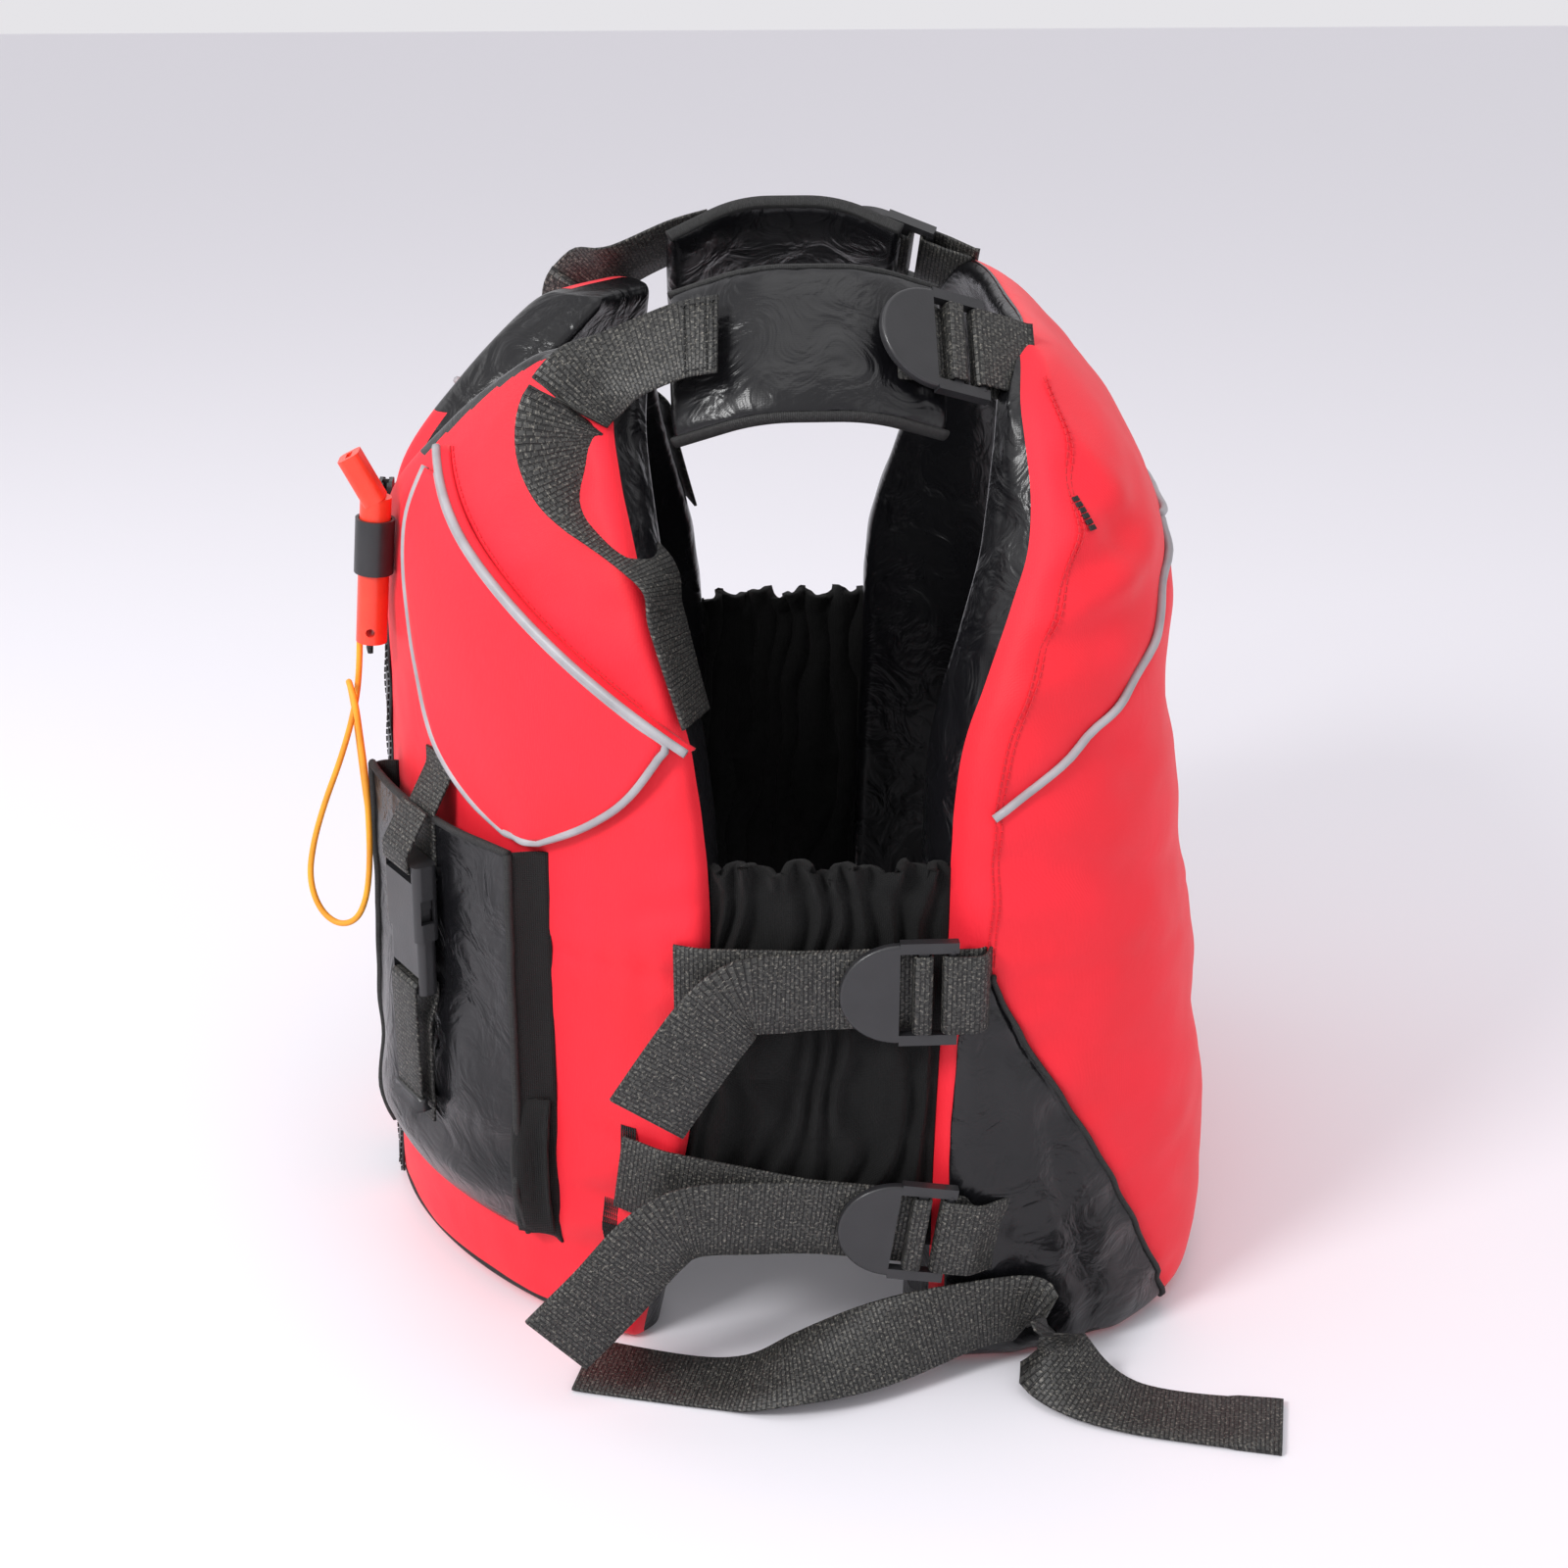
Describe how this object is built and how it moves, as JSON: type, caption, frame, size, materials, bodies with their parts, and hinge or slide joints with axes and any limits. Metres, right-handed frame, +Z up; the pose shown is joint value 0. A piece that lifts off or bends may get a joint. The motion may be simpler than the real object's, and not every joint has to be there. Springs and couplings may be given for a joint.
{
  "type": "life jacket",
  "caption": "Zip-front buoyancy vest with foam panels, side and shoulder ladder-lock straps, chest flaps, pockets with clips and a whistle.",
  "frame": {"origin": "middle of the jacket's box, on the surface that it stands on, without the whistle's lanyard", "axes": "+Z up, -Y the wearer's front, +X the wearer's left"},
  "size_m": [0.5366, 0.4528, 0.4953],
  "materials": {
    "red_nylon": "matte",
    "black_coated_nylon": "satin",
    "black_elastic": "matte",
    "white_foam": "matte",
    "black_plastic": "satin",
    "black_metal": "satin",
    "black_webbing": "matte",
    "yellow_cord": "matte",
    "orange_plastic": "satin"
  },
  "bodies": {
    "back": {"back_shell": "red_nylon", "back_foam": "white_foam", "back_lining": "black_coated_nylon", "lower_side_gusset_left": "black_coated_nylon", "lower_side_gusset_right": "black_coated_nylon", "side_elastic_left": "black_elastic", "side_elastic_right": "black_elastic", "upper_side_anchor_left": "black_webbing", "upper_side_anchor_right": "black_webbing", "lower_side_anchor_left": "black_webbing", "lower_side_anchor_right": "black_webbing", "upper_side_strap_left": "black_webbing", "upper_side_strap_right": "black_webbing", "lower_side_strap_left": "black_webbing", "lower_side_strap_right": "black_webbing", "bottom_strap_left": "black_webbing", "bottom_strap_right": "black_webbing", "shoulder_pad_left": "black_coated_nylon", "shoulder_pad_right": "black_coated_nylon", "shoulder_anchor_left": "black_webbing", "shoulder_anchor_right": "black_webbing", "shoulder_strap_left": "black_webbing", "shoulder_strap_right": "black_webbing"},
    "front_left": {"front_shell_left": "red_nylon", "front_foam_left": "white_foam", "front_lining_left": "black_coated_nylon", "shoulder_front_webbing_left": "black_webbing", "zip_teeth_left": "black_plastic", "zip_tape_left": "black_webbing", "cargo_pocket_left": "black_coated_nylon", "clip_socket_left": "black_plastic", "clip_upper_webbing_left": "black_webbing", "clip_lower_webbing_left": "black_webbing", "zip_retainer": "black_plastic", "whistle_keeper": "black_webbing", "whistle_cord": "yellow_cord"},
    "front_right": {"front_shell_right": "red_nylon", "front_foam_right": "white_foam", "front_lining_right": "black_coated_nylon", "shoulder_front_webbing_right": "black_webbing", "zip_teeth_right": "black_plastic", "zip_tape_right": "black_webbing", "cargo_pocket_right": "black_coated_nylon", "clip_socket_right": "black_plastic", "clip_upper_webbing_right": "black_webbing", "clip_lower_webbing_right": "black_webbing"},
    "zip_slider": {"zip_slider": "black_metal"},
    "zip_pull": {"zip_pull": "black_webbing"},
    "whistle": {"whistle": "orange_plastic"},
    "chest_flap_left": {"chest_flap_left": "red_nylon"},
    "clip_plug_left": {"clip_plug_left": "black_plastic"},
    "upper_side_lock_left": {"upper_side_lock_left": "black_plastic"},
    "lower_side_lock_left": {"lower_side_lock_left": "black_plastic"},
    "shoulder_lock_left": {"shoulder_lock_left": "black_plastic"},
    "chest_flap_right": {"chest_flap_right": "red_nylon"},
    "clip_plug_right": {"clip_plug_right": "black_plastic"},
    "upper_side_lock_right": {"upper_side_lock_right": "black_plastic"},
    "lower_side_lock_right": {"lower_side_lock_right": "black_plastic"},
    "shoulder_lock_right": {"shoulder_lock_right": "black_plastic"}
  },
  "joints": [
    {"name": "front_left_open", "type": "hinge", "parent": "back", "child": "front_left", "pos_m": [0.193, 0.0101, 0.125], "axis": [-0.2372, 0, 0.9715], "range_deg": [0, 80], "deforming": ["side_elastic_left", "upper_side_strap_left", "lower_side_strap_left", "bottom_strap_left", "shoulder_pad_left", "shoulder_strap_left"]},
    {"name": "front_right_open", "type": "hinge", "parent": "back", "child": "front_right", "pos_m": [-0.193, 0.0101, 0.125], "axis": [-0.2372, 0, -0.9715], "range_deg": [0, 80], "deforming": ["side_elastic_right", "upper_side_strap_right", "lower_side_strap_right", "bottom_strap_right", "shoulder_pad_right", "shoulder_strap_right"]},
    {"name": "zip_slide", "type": "slide", "parent": "front_left", "child": "zip_slider", "axis": [0, 0.041, 0.9992], "range_m": [-0.35, 0]},
    {"name": "zip_pull_lift", "type": "hinge", "parent": "zip_slider", "child": "zip_pull", "pos_m": [0, -0.19963, 0.37038], "axis": [-1, 0, 0], "range_deg": [0, 110]},
    {"name": "chest_flap_left_lift", "type": "hinge", "parent": "front_left", "child": "chest_flap_left", "pos_m": [0.13901, -0.13089, 0.36], "axis": [-0.6645, -0.551, 0.5049], "range_deg": [0, 70]},
    {"name": "chest_flap_right_lift", "type": "hinge", "parent": "front_right", "child": "chest_flap_right", "pos_m": [-0.13901, -0.13089, 0.36], "axis": [-0.6645, 0.551, -0.5049], "range_deg": [0, 70]},
    {"name": "clip_left_release", "type": "slide", "parent": "front_left", "child": "clip_plug_left", "axis": [0.0116, -0.0192, -0.9997], "range_m": [0, 0.03], "deforming": ["clip_lower_webbing_left", "whistle_cord"]},
    {"name": "clip_right_release", "type": "slide", "parent": "front_right", "child": "clip_plug_right", "axis": [-0.0116, -0.0192, -0.9997], "range_m": [0, 0.03], "deforming": ["clip_lower_webbing_right"]},
    {"name": "whistle_draw", "type": "slide", "parent": "front_left", "child": "whistle", "axis": [0.0016, 0.0968, 0.9953], "range_m": [0, 0.05], "deforming": ["whistle_cord"]},
    {"name": "upper_side_lock_left_tilt", "type": "hinge", "parent": "back", "child": "upper_side_lock_left", "pos_m": [0.20305, 0.0571, 0.202], "axis": [0, 0, 1], "range_deg": [0, 40], "deforming": ["upper_side_strap_left"]},
    {"name": "upper_side_lock_right_tilt", "type": "hinge", "parent": "back", "child": "upper_side_lock_right", "pos_m": [-0.20305, 0.0571, 0.202], "axis": [0, 0, -1], "range_deg": [0, 40], "deforming": ["upper_side_strap_right"]},
    {"name": "lower_side_lock_left_tilt", "type": "hinge", "parent": "back", "child": "lower_side_lock_left", "pos_m": [0.20314, 0.0571, 0.078], "axis": [0, 0.1392, 0.9903], "range_deg": [0, 40], "deforming": ["lower_side_strap_left"]},
    {"name": "lower_side_lock_right_tilt", "type": "hinge", "parent": "back", "child": "lower_side_lock_right", "pos_m": [-0.20314, 0.0571, 0.078], "axis": [0, -0.1392, -0.9903], "range_deg": [0, 40], "deforming": ["lower_side_strap_right"]},
    {"name": "shoulder_lock_left_tilt", "type": "hinge", "parent": "back", "child": "shoulder_lock_left", "pos_m": [0.10593, 0.0731, 0.45893], "axis": [-0.7071, 0, 0.7071], "range_deg": [0, 40], "deforming": ["shoulder_strap_left"]},
    {"name": "shoulder_lock_right_tilt", "type": "hinge", "parent": "back", "child": "shoulder_lock_right", "pos_m": [-0.10593, 0.0731, 0.45893], "axis": [-0.7071, 0, -0.7071], "range_deg": [0, 40], "deforming": ["shoulder_strap_right"]}
  ],
  "couplings": [
    {"joint": "front_right_open", "follows": "front_left_open", "ratio": 1},
    {"joint": "zip_slide", "follows": "front_left_open", "m_per_rad": -0.24995}
  ]
}
